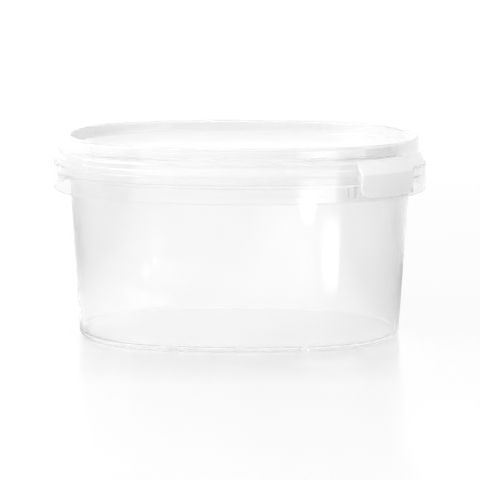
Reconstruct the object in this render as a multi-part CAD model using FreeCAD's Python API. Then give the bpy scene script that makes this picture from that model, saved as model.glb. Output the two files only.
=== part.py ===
"""Oval tamper-evident food container, closed and empty: a thin-walled tub and its press-on lid.

Sizes are in millimetres. +Z is up, the long axis runs along X, and the origin is the middle of the
foot that the tub stands on. Every ring of both mouldings keeps one inset from the plan oval, which
is the outer face of the tub's collar, so each moulding is one cross-section carried round that oval.
"""
import FreeCAD
import Part

import math
import os

from FreeCAD import Vector

# --- plan oval: the collar's outer face, four arcs that meet without a corner -------------------
LENGTH = 148.0
WIDTH = 102.0
SIDE_RADIUS = 172.0

# --- shared by both mouldings -------------------------------------------------------------------
WALL = 0.75
SOFT_EDGE = 0.35

# --- tub ----------------------------------------------------------------------------------------
TUB_HEIGHT = 79.4
BASE_INSET = 10.0         # collar face to the wall at the foot; less at the rim, which drafts the wall
RIM_INSET = 5.5           # collar face to the wall at the rim
BASE_RADIUS = 1.9         # outer radius where the wall turns into the foot
FOOT_WIDTH = 1.6          # flat width of the ring that the tub stands on
FLOOR_LIFT = 0.9          # floor's underside above the foot
FLOOR_RADIUS = 1.2        # inner radius between floor and wall
VENT_COUNT = 2            # notches in the foot along each long side
VENT_SPACING = 51.0
VENT_WIDTH = 3.0
LIP_FIT = 0.0             # turned-down lip of the rim to the lid channel that grips it
LIP_DROP = 3.0
LIP_RADIUS = 0.6

# --- collar: a band round the rim, carried by a flange and open above and below it --------------
COLLAR_WALL = 0.9
COLLAR_HEIGHT = 10.3
COLLAR_DROP = 9.9         # rim to the collar's top edge
FLANGE_DROP = 13.4        # rim to the flange's upper face
FLANGE = 0.9
GUSSET_WIDTH = 1.6        # webs under the flange, one each side of the tab
GUSSET_GAP = 2.4          # gusset to the tab's edge, along the collar
GUSSET_SHORT = 1.2        # gusset's foot above the collar's lower edge

# --- lid ----------------------------------------------------------------------------------------
RIDGE_INSET = 2.85        # collar face to the ridge that grips the rim
RIDGE_LEAN = 0.15         # ridge draws in by this much at its crest
CREST_RADIUS = 0.9
CREST_INNER_RADIUS = 0.6
PANEL_DROP = 4.7          # crest to the recessed panel
PANEL_RADIUS = 0.8
PLUG_FIT = 0.1            # plug wall to the tub's inner face
SHOULDER_DROP = 5.9       # crest to the shoulder round the ridge
SHOULDER_RADIUS = 0.5
SKIRT_INSET = 1.5         # collar face to the skirt, above its bead
SKIRT_BEAD_DROP = 2.6     # shoulder to the bead that stiffens the skirt
SKIRT_FIT = 0.25          # skirt's bead to the collar's inner face
SKIRT_CLEAR = 0.5         # skirt's lower edge above the flange
SNAP_DEPTH = 0.6          # bead that hooks under the lip
SNAP_HEIGHT = 1.1
SNAP_FIT = 0.1            # bead to the lip's lower edge

# --- pull tab on the lid, with the apron that carries it and the notch that it hangs over -------
TAB_ANGLE = -49.0         # bearing of the tab's middle about the right end's centre, from +X
TAB_WIDTH = 26.0
TAB_FLARE = 1.2           # extra half-width at the tab's lower edge
TAB_WALL = 1.0
TAB_GAP = 0.35            # tab to the collar's face, and apron to the collar's top edge
TAB_SHORT = 1.6           # tab's lower edge above the collar's
TAB_CORNER = 4.6
APRON_PAST = 61.0         # how far the apron runs on past the tab's middle, degrees, round the end
APRON_LEAD = 17.0         # and the other way
NOTCH_CLEAR = 0.8         # notch past the tab's edge, at the flange
NOTCH_SLANT = 1.0         # further at the collar's top
BRIDGE_WIDTH = 1.0        # break-off bridges from tab to collar
BRIDGE_HEIGHT = 0.8
BRIDGE_SPREAD = 16.0
BRIDGE_LIFT = 1.4         # bridge's underside above the tab's lower edge

# --- worked out ---------------------------------------------------------------------------------
HALF_LENGTH = LENGTH / 2
HALF_WIDTH = WIDTH / 2
END_RADIUS = ((HALF_LENGTH ** 2 + HALF_WIDTH ** 2 - 2 * SIDE_RADIUS * HALF_WIDTH)
              / (2 * (HALF_LENGTH - SIDE_RADIUS)))
END_CENTRE = HALF_LENGTH - END_RADIUS
SIDE_CENTRE = SIDE_RADIUS - HALF_WIDTH
SIDE_HALF_ANGLE = math.degrees(math.atan2(END_CENTRE, SIDE_CENTRE))
END_HALF_ANGLE = 90.0 - SIDE_HALF_ANGLE

FOOT_INNER = BASE_INSET + BASE_RADIUS + FOOT_WIDTH
FLOOR_EDGE = FOOT_INNER + WALL
FLOOR_TOP = FLOOR_LIFT + WALL
COLLAR_TOP = TUB_HEIGHT - COLLAR_DROP
COLLAR_BOTTOM = COLLAR_TOP - COLLAR_HEIGHT
FLANGE_TOP = TUB_HEIGHT - FLANGE_DROP
FLANGE_BOTTOM = FLANGE_TOP - FLANGE
LIP_INSET = RIDGE_INSET + RIDGE_LEAN + WALL + LIP_FIT
LIP_BOTTOM = TUB_HEIGHT - LIP_DROP

CREST = TUB_HEIGHT + WALL
PANEL_TOP = CREST - PANEL_DROP
SHOULDER = CREST - SHOULDER_DROP
SKIRT_BEAD = SHOULDER - SKIRT_BEAD_DROP
SKIRT_BOTTOM = FLANGE_TOP + SKIRT_CLEAR
SKIRT_LOW_INSET = COLLAR_WALL + SKIRT_FIT
SNAP_TOP = LIP_BOTTOM - SNAP_FIT

APRON_FOOT = COLLAR_TOP + TAB_GAP
TAB_BOTTOM = COLLAR_BOTTOM + TAB_SHORT

UP = Vector(0, 0, 1)
END_POINT = Vector(END_CENTRE, 0, 0)
# centre, radius, first bearing and sweep of each arc of the plan oval, anticlockwise
ARCS = (
    (END_POINT, END_RADIUS, -END_HALF_ANGLE, 2 * END_HALF_ANGLE),
    (Vector(0, -SIDE_CENTRE, 0), SIDE_RADIUS, END_HALF_ANGLE, 2 * SIDE_HALF_ANGLE),
    (Vector(-END_CENTRE, 0, 0), END_RADIUS, 180.0 - END_HALF_ANGLE, 2 * END_HALF_ANGLE),
    (Vector(0, SIDE_CENTRE, 0), SIDE_RADIUS, 180.0 + END_HALF_ANGLE, 2 * SIDE_HALF_ANGLE),
)


def wall_inset(height):
    """Inset of the tub's drafted outer wall at a height above the foot."""
    return BASE_INSET + (RIM_INSET - BASE_INSET) * height / TUB_HEIGHT


def plug_inset(height):
    """Inset of the lid's plug wall, which follows the tub's inner face inside its clearance."""
    return wall_inset(height) + WALL + PLUG_FIT


def bearing(angle):
    """Level unit vector at an angle in degrees from +X."""
    return Vector(math.cos(math.radians(angle)), math.sin(math.radians(angle)), 0)


def rounded_wire(points, radii):
    """Closed wire through points, with a tangent arc of its own radius at each corner above zero."""
    entries = []
    exits = []
    middles = []
    for index, (corner, radius) in enumerate(zip(points, radii)):
        towards_last = (points[index - 1] - corner).normalize()
        towards_next = (points[(index + 1) % len(points)] - corner).normalize()
        half_corner = towards_last.getAngle(towards_next) / 2
        setback = radius / math.tan(half_corner)
        entries.append(corner + towards_last * setback)
        exits.append(corner + towards_next * setback)
        inwards = (towards_last + towards_next).normalize()
        middles.append(corner + inwards * (radius / math.sin(half_corner) - radius))
    edges = []
    for index, radius in enumerate(radii):
        if radius > 0:
            edges.append(Part.Arc(entries[index], middles[index], exits[index]).toShape())
        following = (index + 1) % len(points)
        edges.append(Part.LineSegment(exits[index], entries[following]).toShape())
    return Part.Wire(edges)


def section_face(corners, centre, radius, angle):
    """Upright face of (inset, height, fillet) corners, standing on a bearing about an arc's centre."""
    outwards = bearing(angle)
    points = [centre + outwards * (radius - inset) + UP * height for inset, height, _ in corners]
    return Part.Face(rounded_wire(points, [fillet for _, _, fillet in corners]))


def sector(corners, centre, radius, angle, sweep):
    """Solid that a section makes when it turns about an arc's centre from a bearing by a sweep."""
    return section_face(corners, centre, radius, angle).revolve(centre, UP, sweep)


def fused(shapes):
    """One clean solid from shapes that touch or overlap."""
    return shapes[0].fuse(shapes[1:]).removeSplitter()


def ring(corners):
    """Section carried all the way round the plan oval."""
    return fused([sector(corners, *arc) for arc in ARCS])


def oval_plate(inset, bottom, thickness):
    """Flat plate whose edge keeps an inset from the plan oval."""
    edges = [
        Part.makeCircle(radius - inset, centre + UP * bottom, UP, angle, angle + sweep)
        for centre, radius, angle, sweep in ARCS
    ]
    return Part.Face(Part.Wire(edges)).extrude(UP * thickness)


def tab_prism(corners, reach_in, reach_out):
    """Outline of (sideways, height, fillet) corners facing the tab, pushed through along its bearing."""
    outwards = bearing(TAB_ANGLE)
    sideways = UP.cross(outwards)
    near = END_POINT + outwards * (END_RADIUS - reach_in)
    points = [near + sideways * across + UP * height for across, height, _ in corners]
    face = Part.Face(rounded_wire(points, [fillet for _, _, fillet in corners]))
    return face.extrude(outwards * (reach_in + reach_out))


# --- tub ----------------------------------------------------------------------------------------
def tub_section():
    """Cross-section of the tub from the floor's edge round the foot, wall, collar and rolled rim."""
    return [
        (FLOOR_EDGE, FLOOR_LIFT, 0),
        (FOOT_INNER, FLOOR_LIFT, 0),
        (FOOT_INNER, 0, 0),
        (BASE_INSET, 0, BASE_RADIUS),
        (wall_inset(FLANGE_BOTTOM), FLANGE_BOTTOM, 0),
        (COLLAR_WALL, FLANGE_BOTTOM, 0),
        (COLLAR_WALL, COLLAR_BOTTOM, 0),
        (0, COLLAR_BOTTOM, SOFT_EDGE),
        (0, COLLAR_TOP, SOFT_EDGE),
        (COLLAR_WALL, COLLAR_TOP, 0),
        (COLLAR_WALL, FLANGE_TOP, 0),
        (wall_inset(FLANGE_TOP), FLANGE_TOP, 0),
        (wall_inset(TUB_HEIGHT - WALL), TUB_HEIGHT - WALL, 0),
        (LIP_INSET + WALL, TUB_HEIGHT - WALL, 0),
        (LIP_INSET + WALL, LIP_BOTTOM, 0),
        (LIP_INSET, LIP_BOTTOM, SOFT_EDGE),
        (LIP_INSET, TUB_HEIGHT, LIP_RADIUS),
        (RIM_INSET + WALL, TUB_HEIGHT, SOFT_EDGE),
        (wall_inset(FLOOR_TOP) + WALL, FLOOR_TOP, FLOOR_RADIUS),
        (FLOOR_EDGE, FLOOR_TOP, 0),
    ]


def vent_notches():
    """Short cuts under the foot's long sides that let the tub drain and breathe when it is washed."""
    cuts = []
    for index in range(VENT_COUNT):
        middle = (index - (VENT_COUNT - 1) / 2) * VENT_SPACING
        corner = Vector(middle - VENT_WIDTH / 2, -HALF_WIDTH, 0)
        cuts.append(Part.makeBox(VENT_WIDTH, WIDTH, FLOOR_LIFT, corner))
    floor_side = oval_plate(BASE_INSET + BASE_RADIUS / 2, 0, FLOOR_LIFT)
    return Part.makeCompound(cuts).common(floor_side)


def gusset(angle):
    """Upright web that ties the collar to the wall under the flange, on a bearing about the end."""
    overlap = COLLAR_WALL / 2
    foot = COLLAR_BOTTOM + GUSSET_SHORT
    corners = [
        (COLLAR_WALL - overlap, FLANGE_TOP - overlap, 0),
        (COLLAR_WALL - overlap, foot, 0),
        (COLLAR_WALL + WALL, foot, 0),
        (wall_inset(foot) + overlap, foot, 0),
        (wall_inset(FLANGE_BOTTOM) + overlap, FLANGE_TOP - overlap, 0),
    ]
    sideways = UP.cross(bearing(angle))
    face = section_face(corners, END_POINT, END_RADIUS, angle)
    face.translate(sideways * (-GUSSET_WIDTH / 2))
    return face.extrude(sideways * GUSSET_WIDTH)


def tab_notch():
    """Gap in the collar's upper band behind the tab, with slanted ends, open down to the flange."""
    half_foot = TAB_WIDTH / 2 + NOTCH_CLEAR
    half_mouth = half_foot + NOTCH_SLANT
    above = COLLAR_TOP + COLLAR_WALL
    slope = NOTCH_SLANT / (COLLAR_TOP - FLANGE_TOP) * (above - FLANGE_TOP)
    corners = [
        (-half_foot, FLANGE_TOP, 0),
        (half_foot, FLANGE_TOP, 0),
        (half_foot + slope, above, 0),
        (-half_foot - slope, above, 0),
    ]
    sagitta = END_RADIUS - math.sqrt(END_RADIUS ** 2 - half_mouth ** 2)
    return tab_prism(corners, sagitta + 2 * COLLAR_WALL, COLLAR_WALL)


def tub():
    """Tub with its floor, foot, drafted wall, flange, collar and rolled rim, as one moulding."""
    reach = math.degrees((TAB_WIDTH / 2 + GUSSET_GAP) / END_RADIUS)
    pieces = [ring(tub_section()), oval_plate(FLOOR_EDGE, FLOOR_LIFT, WALL)]
    pieces += [gusset(TAB_ANGLE + side * reach) for side in (-1, 1)]
    body = fused(pieces)
    return body.cut([vent_notches(), tab_notch()]).removeSplitter()


# --- lid ----------------------------------------------------------------------------------------
def panel_edge():
    """Inset at which the lid's section hands over to the flat panel."""
    return plug_inset(PANEL_TOP) + WALL + PANEL_RADIUS


def ridge_section():
    """Inner run of the lid's section: panel edge, plug wall, channel over the rim, and snap bead."""
    channel = RIDGE_INSET + WALL
    snap_middle = SNAP_TOP - SNAP_HEIGHT / 2
    return [
        (panel_edge(), PANEL_TOP, 0),
        (panel_edge(), PANEL_TOP - WALL, 0),
        (plug_inset(PANEL_TOP - WALL), PANEL_TOP - WALL, SOFT_EDGE),
        (plug_inset(TUB_HEIGHT), TUB_HEIGHT, 0),
        (channel + RIDGE_LEAN, TUB_HEIGHT, 0),
        (channel, SNAP_TOP, 0),
        (channel + SNAP_DEPTH, snap_middle, 0),
        (channel, SNAP_TOP - SNAP_HEIGHT, 0),
    ]


def crest_section():
    """Outer run of the lid's section, from the shoulder up the ridge and down to the panel."""
    return [
        (RIDGE_INSET, SHOULDER, 0),
        (RIDGE_INSET + RIDGE_LEAN, CREST, CREST_RADIUS),
        (plug_inset(CREST) + WALL, CREST, CREST_INNER_RADIUS),
        (plug_inset(PANEL_TOP) + WALL, PANEL_TOP, SOFT_EDGE),
    ]


def skirt_section():
    """Lid's whole section where the skirt drops inside the collar."""
    under = SHOULDER - WALL
    skirt = [
        (RIDGE_INSET + WALL, under, 0),
        (SKIRT_INSET + WALL, under, 0),
        (SKIRT_INSET + WALL, SKIRT_BOTTOM, 0),
        (SKIRT_LOW_INSET, SKIRT_BOTTOM, SOFT_EDGE),
        (SKIRT_LOW_INSET, SKIRT_BEAD - SOFT_EDGE, 0),
        (SKIRT_INSET, SKIRT_BEAD, 0),
        (SKIRT_INSET, SHOULDER, SHOULDER_RADIUS),
    ]
    return ridge_section() + skirt + crest_section()


def apron_section():
    """Lid's whole section where the skirt opens out into an apron that slopes over the collar."""
    inset_run = RIDGE_INSET - TAB_GAP
    height_run = SHOULDER - APRON_FOOT
    slope = math.hypot(inset_run, height_run)
    drop = WALL * slope / inset_run
    inset_back = WALL * slope / height_run
    apron = [
        (RIDGE_INSET + WALL, SHOULDER - drop + WALL * height_run / inset_run, 0),
        (TAB_GAP + inset_back, APRON_FOOT, 0),
        (TAB_GAP, APRON_FOOT, 0),
    ]
    return ridge_section() + apron + crest_section()


def tab_section():
    """Section of the tab: a strip that follows the apron's slope, folds over and hangs down."""
    fold = -TAB_GAP
    return [
        (RIDGE_INSET + WALL / 2, SHOULDER + TAB_WALL / 2, 0),
        (RIDGE_INSET + WALL / 2, SHOULDER - WALL, 0),
        (fold, APRON_FOOT - TAB_WALL / 2, 0),
        (fold, TAB_BOTTOM, 0),
        (fold - TAB_WALL, TAB_BOTTOM, SOFT_EDGE),
        (fold - TAB_WALL, APRON_FOOT + TAB_WALL / 2, TAB_WALL),
    ]


def pull_tab():
    """Tab with its outline trimmed to rounded lower corners, and its break-off bridges."""
    half_width = TAB_WIDTH / 2
    lower_half = half_width + TAB_FLARE
    outline = [
        (-lower_half, TAB_BOTTOM, TAB_CORNER),
        (lower_half, TAB_BOTTOM, TAB_CORNER),
        (half_width, SHOULDER + WALL, 0),
        (-half_width, SHOULDER + WALL, 0),
    ]
    spread = math.degrees(math.asin((lower_half + TAB_WALL) / END_RADIUS))
    strip = sector(tab_section(), END_POINT, END_RADIUS, TAB_ANGLE - spread, 2 * spread)
    trimmed = strip.common(tab_prism(outline, END_RADIUS / 3, 2 * TAB_WALL))
    bridges = []
    for side in (-1, 1):
        corners = [
            (0, TAB_BOTTOM + BRIDGE_LIFT, 0),
            (-TAB_GAP - TAB_WALL / 2, TAB_BOTTOM + BRIDGE_LIFT, 0),
            (-TAB_GAP - TAB_WALL / 2, TAB_BOTTOM + BRIDGE_LIFT + BRIDGE_HEIGHT, 0),
            (0, TAB_BOTTOM + BRIDGE_LIFT + BRIDGE_HEIGHT, 0),
        ]
        width = math.degrees(BRIDGE_WIDTH / END_RADIUS)
        offset = math.degrees(side * BRIDGE_SPREAD / 2 / END_RADIUS)
        bridges.append(
            sector(corners, END_POINT, END_RADIUS, TAB_ANGLE + offset - width / 2, width)
        )
    return fused([trimmed] + bridges)


def lid_ring():
    """Lid's section round the oval: skirt everywhere but for the stretch that the apron takes."""
    centre, radius, start, sweep = ARCS[0]
    apron_start = TAB_ANGLE - APRON_LEAD
    apron_end = TAB_ANGLE + APRON_PAST
    parts = [
        sector(skirt_section(), centre, radius, start, apron_start - start),
        sector(apron_section(), centre, radius, apron_start, apron_end - apron_start),
        sector(skirt_section(), centre, radius, apron_end, start + sweep - apron_end),
    ]
    parts += [sector(skirt_section(), *arc) for arc in ARCS[1:]]
    return parts


def lid():
    """Lid with its recessed panel, gripping ridge, skirt, apron and pull tab, as one moulding."""
    panel = oval_plate(panel_edge(), PANEL_TOP - WALL, WALL)
    return fused(lid_ring() + [panel, pull_tab()])


NODES = {"tub": tub, "lid": lid}


def main():
    """Builds each moulding and writes it to its own file."""
    os.makedirs("parts", exist_ok=True)
    for name, build in NODES.items():
        shape = build()
        shape.exportStep(f"parts/{name}.step")
        print(name, len(shape.Solids), shape.isValid(), round(shape.Volume, 1), shape.BoundBox)


main()
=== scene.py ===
"""Looks of an oval food container: a clear moulded tub, its clear lid, and the lid's frosted tab.

The two mouldings are skins drawn round one plan oval. A skin is a cross-section, given by corners
of (inset from the collar's face, height), which may move with the bearing round the oval; that is
how the notch, the webs, the drain slots and the apron come about. Sizes are in millimetres until
a mesh is made, and then in metres. +Z is up and +X runs along the oval to the end with the tab.
"""
import logging
import math

from dataclasses import dataclass, field
from enum import Enum
from typing import Any, Callable, Sequence

import bpy
import numpy as np

from mathutils import Euler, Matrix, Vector


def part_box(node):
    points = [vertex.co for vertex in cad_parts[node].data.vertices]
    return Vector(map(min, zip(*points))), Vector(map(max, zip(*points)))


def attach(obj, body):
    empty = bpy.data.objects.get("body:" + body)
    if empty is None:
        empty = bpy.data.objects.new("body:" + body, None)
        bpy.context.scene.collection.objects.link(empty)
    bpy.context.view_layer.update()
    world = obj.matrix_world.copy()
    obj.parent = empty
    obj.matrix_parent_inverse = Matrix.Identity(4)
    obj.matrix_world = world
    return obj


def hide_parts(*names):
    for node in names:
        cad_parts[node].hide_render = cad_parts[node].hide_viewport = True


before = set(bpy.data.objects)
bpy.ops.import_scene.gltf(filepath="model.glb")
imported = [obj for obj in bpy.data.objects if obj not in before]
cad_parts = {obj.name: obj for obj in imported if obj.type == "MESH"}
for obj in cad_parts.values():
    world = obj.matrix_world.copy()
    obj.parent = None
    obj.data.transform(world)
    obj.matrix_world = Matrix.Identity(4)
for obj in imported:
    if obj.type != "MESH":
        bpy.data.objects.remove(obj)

LOG = logging.getLogger("container")
MM = 0.001
BODY = "root"
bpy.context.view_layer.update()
SIDE_RADIUS = 172.0       # radius of the plan oval's long sides, in millimetres
SMOOTH_BELOW = 33.0       # degrees between two faces up to which shading runs on over their edge
TINY = 1e-9               # stands in for a length of nothing where something is divided by it
FLAT_SHARES = (0.02, 0.15, 0.35, 0.55, 0.75, 0.92)  # of the way from a flat's middle to its edge

# rows of a rounded section
LEAST_RADIUS = 0.05       # millimetres, for a corner that is left sharp
LEAST_ANGLE = 0.05        # radians, for half of a corner that folds right back
ROOM = 0.45               # most of a straight run that one corner may take
SHORT_RUN = 0.5           # straight runs up to this many millimetres get no rows of their own
EDGE_ROW = 0.15           # millimetres from a run's end to the row that keeps its shading flat
EDGE_SHARE = 0.3          # but no more than this share of the run
SMALL_FILLET = 0.1        # millimetres; a fillet up to this gets few rows
FILLET_ROWS, SMALL_FILLET_ROWS = 6, 3


# --- plan and sections -------------------------------------------------------------------------
@dataclass(frozen=True)
class Oval:
    """Plan oval of four arcs that meet without a corner, with lines at an inset from it.

    A point of the oval is named by the bearing of its outward normal, in radians from +X.
    """

    half_length: float
    half_width: float
    side_radius: float

    @property
    def end_radius(self) -> float:
        """Radius of the two end arcs, which follows from the other three sizes."""
        a, b, r = self.half_length, self.half_width, self.side_radius
        return (a * a + b * b - 2 * r * b) / (2 * (a - r))

    @property
    def end_centre(self) -> float:
        """Distance of an end arc's centre from the middle, along X."""
        return self.half_length - self.end_radius

    @property
    def side_half_angle(self) -> float:
        """Half the angle that a side arc takes up, in radians."""
        return math.atan2(self.end_centre, self.side_radius - self.half_width)

    def bearings(self, step: float, marks: Sequence[float]) -> np.ndarray:
        """Bearings of the stations round the oval.

        Args:
            step: longest distance between stations along the collar's face.
            marks: bearings that get a station of their own.

        Returns:
            Rising bearings, evenly spaced along each arc, with the marks among them.
        """
        side = self.side_half_angle
        quarter = math.pi / 2
        arcs = (
            (-quarter - side, 2 * side, self.side_radius),
            (side - quarter, 2 * (quarter - side), self.end_radius),
            (quarter - side, 2 * side, self.side_radius),
            (quarter + side, 2 * (quarter - side), self.end_radius),
        )
        runs = []
        for start, sweep, radius in arcs:
            count = math.ceil(sweep * radius / step)
            runs.append(start + sweep * np.arange(count) / count)
        first = -quarter - side
        marks = (np.asarray(marks, float) - first) % (2 * math.pi) + first
        return np.unique(np.round(np.concatenate(runs + [marks]), 7))

    def at(self, bearing: np.ndarray, inset: np.ndarray) -> tuple[np.ndarray, np.ndarray]:
        """Plan position at a bearing and an inset.

        The arc's centre plus (its radius less the inset) along the bearing. The end arcs' centres
        lie on X at plus and minus end_centre, and the side arcs' across Y from the side that they
        draw.

        Args:
            bearing: radians from +X.
            inset: distance in from the oval, with the same shape or one that broadcasts.

        Returns:
            X and Y, in millimetres.
        """
        across, along = np.cos(bearing), np.sin(bearing)
        on_side = np.abs(along) > math.cos(self.side_half_angle)
        radius = np.where(on_side, self.side_radius, self.end_radius)
        centre_x = np.where(on_side, 0.0, np.sign(across) * self.end_centre)
        centre_y = np.where(on_side, -np.sign(along) * (self.side_radius - self.half_width), 0.0)
        return centre_x + (radius - inset) * across, centre_y + (radius - inset) * along


def rounded_rows(corners: np.ndarray, radii: Sequence[float], longest: float = 4.0) -> np.ndarray:
    """Rows of an open section with rounded corners, for all stations at once.

    At a corner the arc starts and ends a setback of radius / tan(half the corner) away, held to
    less than half of either straight run, and between them it is the rational quadratic curve
    whose middle weight is the sine of half the corner, which is a true arc. A straight run gets a
    row close to each of its ends, so that shading stays flat along it, and more where it is long.

    Args:
        corners: (corner, station, 2) insets and heights.
        radii: fillet of each corner; the first and the last are the section's ends.
        longest: most millimetres between two rows of a straight run.

    Returns:
        (row, station, 2) insets and heights.
    """
    runs = np.diff(corners, axis=0)
    lengths = np.linalg.norm(runs, axis=2)
    ways = runs / np.maximum(lengths, TINY)[..., None]
    rows = [corners[:1]]
    last = corners[0]
    for k in range(1, len(corners)):
        if k < len(corners) - 1:
            cosine = -np.sum(ways[k - 1] * ways[k], axis=1)
            half = np.arccos(np.clip(cosine, -1, 1)) / 2
            room = ROOM * np.minimum(lengths[k - 1], lengths[k])
            setback = np.maximum(radii[k], LEAST_RADIUS) / np.tan(np.maximum(half, LEAST_ANGLE))
            setback = np.minimum(setback, room)[:, None]
            entry = corners[k] - ways[k - 1] * setback
            leave = corners[k] + ways[k] * setback
        else:
            entry = leave = corners[k]
        straight = np.linalg.norm(entry - last, axis=1)
        span = float(straight.max())
        if span > SHORT_RUN:
            inner = np.linspace(0, 1, max(1, math.ceil(span / longest)) + 1)[1:-1]
            near = np.minimum(EDGE_ROW / np.maximum(straight, TINY), EDGE_SHARE)[None, :]
            shares = np.concatenate([near, np.repeat(inner[:, None], near.shape[1], 1), 1 - near])
            shares = np.sort(shares, axis=0)[..., None]
            rows.append(last + shares * (entry - last))
        if k < len(corners) - 1:
            count = FILLET_ROWS if np.max(radii[k]) > SMALL_FILLET else SMALL_FILLET_ROWS
            u = np.linspace(0, 1, count)[:, None, None]
            weight = np.sin(half)[None, :, None]
            ends, middle, far = (1 - u) ** 2, 2 * u * (1 - u) * weight, u ** 2
            arc = (ends * entry + middle * corners[k] + far * leave) / (ends + middle + far)
            rows.append(arc)
        else:
            rows.append(corners[-1:])
        last = leave
    return np.concatenate(rows)


def quads_between(rows: int, stations: int) -> np.ndarray:
    """Corner numbers of the quads of a grid that closes on itself along its stations.

    A quad joins a point to the next in its row, and both to their likes in the next row.

    Args:
        rows: number of rows.
        stations: number of points in a row.

    Returns:
        (quad, 4) point numbers.
    """
    index = np.arange(rows * stations).reshape(rows, stations)
    ahead = np.roll(index, -1, axis=1)
    return np.stack([index[:-1], ahead[:-1], ahead[1:], index[1:]], axis=-1).reshape(-1, 4)


def shell_mesh(name: str, rows: np.ndarray) -> bpy.types.Mesh:
    """Closed mesh of a stack of closed rows, each end of which is drawn together in one point.

    Args:
        name: mesh name.
        rows: (row, station, 3) points in millimetres.

    Returns:
        The mesh, in metres, whose faces point outwards: if the sum over triangles of their corners'
        triple product is negative, every face is turned round.
    """
    count, stations, _ = rows.shape
    poles = np.stack([rows[0].mean(0), rows[-1].mean(0)])
    points = np.concatenate([rows.reshape(-1, 3), poles]) * MM
    quads = quads_between(count, stations)
    first = np.arange(stations)
    following = np.roll(first, -1)
    last = first + (count - 1) * stations
    low = np.stack([following, first, np.full(stations, count * stations)], -1)
    high = np.stack([last, last[following], np.full(stations, count * stations + 1)], -1)
    triangles = np.concatenate([quads[:, [0, 1, 2]], quads[:, [0, 2, 3]], low, high])
    a, b, c = (points[triangles[:, k]] for k in range(3))
    if np.einsum("ij,ij->i", a, np.cross(b, c)).sum() < 0:
        quads, low, high = quads[:, ::-1], low[:, ::-1], high[:, ::-1]
    mesh = bpy.data.meshes.new(name)
    loops = np.concatenate([quads.ravel(), low.ravel(), high.ravel()]).astype(np.int32)
    sizes = np.concatenate([np.full(len(quads), 4), np.full(2 * stations, 3)])
    mesh.vertices.add(len(points))
    mesh.vertices.foreach_set("co", points.astype(np.float32).ravel())
    mesh.loops.add(len(loops))
    mesh.loops.foreach_set("vertex_index", loops)
    mesh.polygons.add(len(sizes))
    starts = np.concatenate([[0], np.cumsum(sizes)[:-1]]).astype(np.int32)
    mesh.polygons.foreach_set("loop_start", starts)
    mesh.update(calc_edges=True)
    mesh.validate()
    mesh.polygons.foreach_set("use_smooth", np.ones(len(mesh.polygons), bool))
    mesh.set_sharp_from_angle(angle=math.radians(SMOOTH_BELOW))
    return mesh


def piece(name: str, mesh: bpy.types.Mesh, node: str,
          finish: bpy.types.Material) -> bpy.types.Object:
    """Object of a mesh that stands for a CAD node, rides on the body and wears a finish.

    Args:
        name: the piece's name.
        mesh: its shape, in place.
        node: the CAD node that it stands for.
        finish: what it is made of.

    Returns:
        The piece's object.
    """
    shown = bpy.data.objects.new(name, mesh)
    bpy.context.scene.collection.objects.link(shown)
    mesh.materials.append(finish)
    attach(shown, BODY)
    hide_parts(node)
    return shown


# --- shader maths ------------------------------------------------------------------------------
class Value:
    """Number in a shader; reckoning with it adds Math nodes to its graph."""

    def __init__(self, graph: "Graph", socket: bpy.types.NodeSocket) -> None:
        """Wraps an output socket of a graph's node."""
        self.graph = graph
        self.socket = socket

    def _with(self, operation: str, first: Any, second: Any = None) -> "Value":
        """Result of one Math node.

        Args:
            operation: what the node does.
            first: first value or number.
            second: second one, where the operation takes two.

        Returns:
            The result.
        """
        values = {0: first} if second is None else {0: first, 1: second}
        node = self.graph.node("ShaderNodeMath", {"operation": operation}, values)
        return Value(self.graph, node.outputs[0])

    def __add__(self, other: Any) -> "Value":
        """Sum."""
        return self._with("ADD", self, other)

    def __sub__(self, other: Any) -> "Value":
        """Difference."""
        return self._with("SUBTRACT", self, other)

    def __rsub__(self, other: Any) -> "Value":
        """Difference from a plain number."""
        return self._with("SUBTRACT", other, self)

    def __mul__(self, other: Any) -> "Value":
        """Product."""
        return self._with("MULTIPLY", self, other)

    def __truediv__(self, other: Any) -> "Value":
        """Quotient."""
        return self._with("DIVIDE", self, other)

    def __pow__(self, other: Any) -> "Value":
        """Power."""
        return self._with("POWER", self, other)

    def __abs__(self) -> "Value":
        """Size without its sign."""
        return self._with("ABSOLUTE", self)

    __radd__ = __add__
    __rmul__ = __mul__

    def most(self, other: Any) -> "Value":
        """Greater of two values."""
        return self._with("MAXIMUM", self, other)

    def step(self, low: float, high: float) -> "Value":
        """Smooth rise from 0 to 1.

        Args:
            low: where the rise starts.
            high: where it ends.

        Returns:
            The rise, which is 0 below low and 1 above high.
        """
        node = self.graph.node(
            "ShaderNodeMapRange",
            {"interpolation_type": "SMOOTHSTEP"},
            {"Value": self, "From Min": low, "From Max": high},
        )
        return Value(self.graph, node.outputs["Result"])


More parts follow.
